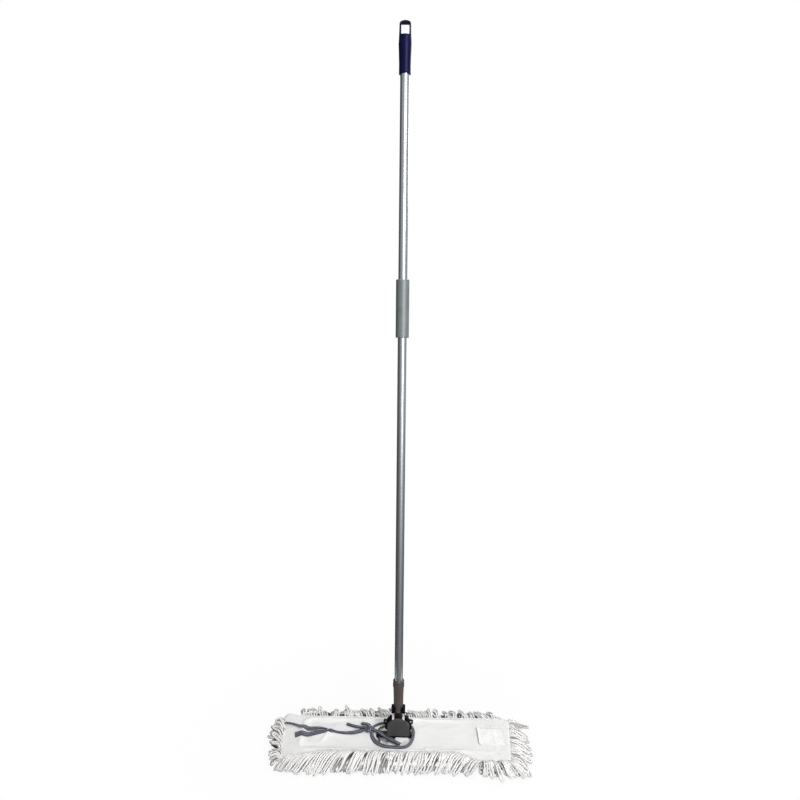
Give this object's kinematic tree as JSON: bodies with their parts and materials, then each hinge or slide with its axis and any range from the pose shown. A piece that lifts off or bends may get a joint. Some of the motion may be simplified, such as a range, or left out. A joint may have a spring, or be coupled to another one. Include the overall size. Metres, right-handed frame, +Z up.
{
  "type": "dust mop",
  "caption": "Flat yarn dust mop: looped cotton cover on a wire frame, swivelling and tilting joint with a sliding lock, and a tube handle with a soft sleeve and hanging eye.",
  "frame": {"origin": "on the floor, straight below the upright handle, which is the middle of the mop head's outline", "axes": "+Z up the handle, +X to the right along the mop head, -Y towards the front"},
  "size_m": [0.6086, 0.2223, 1.5765],
  "materials": {
    "cotton_yarn": "twisted cotton yarn, matte",
    "canvas": "plain woven canvas, matte",
    "label_cloth": "smooth woven label, unprinted",
    "steel_wire": "drawn wire",
    "black_plastic": "fine grained moulding",
    "pin_steel": "turned",
    "tape_cloth": "woven tape, lighter edges",
    "hood_plastic": "fine grained moulding",
    "socket_plastic": "fine grained moulding",
    "tube_aluminium": "satin anodised",
    "sleeve_foam": "soft matte foam",
    "navy_plastic": "semi-matte moulding"
  },
  "bodies": {
    "mop_head": {"yarn_pile": "cotton_yarn", "canvas_base": "canvas", "canvas_top": "canvas", "sewn_label": "label_cloth", "fringe_front": "cotton_yarn", "fringe_back": "cotton_yarn", "fringe_left": "cotton_yarn", "fringe_right": "cotton_yarn", "frame_wire": "steel_wire", "cross_wire_left": "steel_wire", "cross_wire_right": "steel_wire", "hub_base": "black_plastic", "swivel_rivet": "pin_steel", "swivel_washer": "pin_steel", "tie_tack": "tape_cloth", "tie_knot": "tape_cloth", "tie_tail_back": "tape_cloth", "tie_tail_front": "tape_cloth", "tie_band": "tape_cloth", "tie_loop": "tape_cloth", "tie_end_long": "tape_cloth", "tie_end_short": "tape_cloth"},
    "swivel_head": {"swivel_yoke": "black_plastic", "hub_hood": "hood_plastic", "tilt_pin": "pin_steel"},
    "handle": {"pivot_tongue": "black_plastic", "joint_socket": "socket_plastic", "socket_pin": "pin_steel", "handle_tube": "tube_aluminium", "tube_plug": "black_plastic", "mid_grip": "sleeve_foam", "hand_grip": "navy_plastic"},
    "lock": {"lock_slider": "navy_plastic"}
  },
  "joints": [
    {"name": "head_swivel", "type": "hinge", "parent": "mop_head", "child": "swivel_head", "pos_m": [0, 0, 0.0303], "axis": [0, 0, 1], "continuous": true},
    {"name": "handle_tilt", "type": "hinge", "parent": "swivel_head", "child": "handle", "pos_m": [0, 0, 0.0455], "axis": [-1, 0, 0], "range_deg": [0, 80]},
    {"name": "lock_slide", "type": "slide", "parent": "handle", "child": "lock", "axis": [0, 0, -1], "range_m": [0, 0.02]}
  ]
}
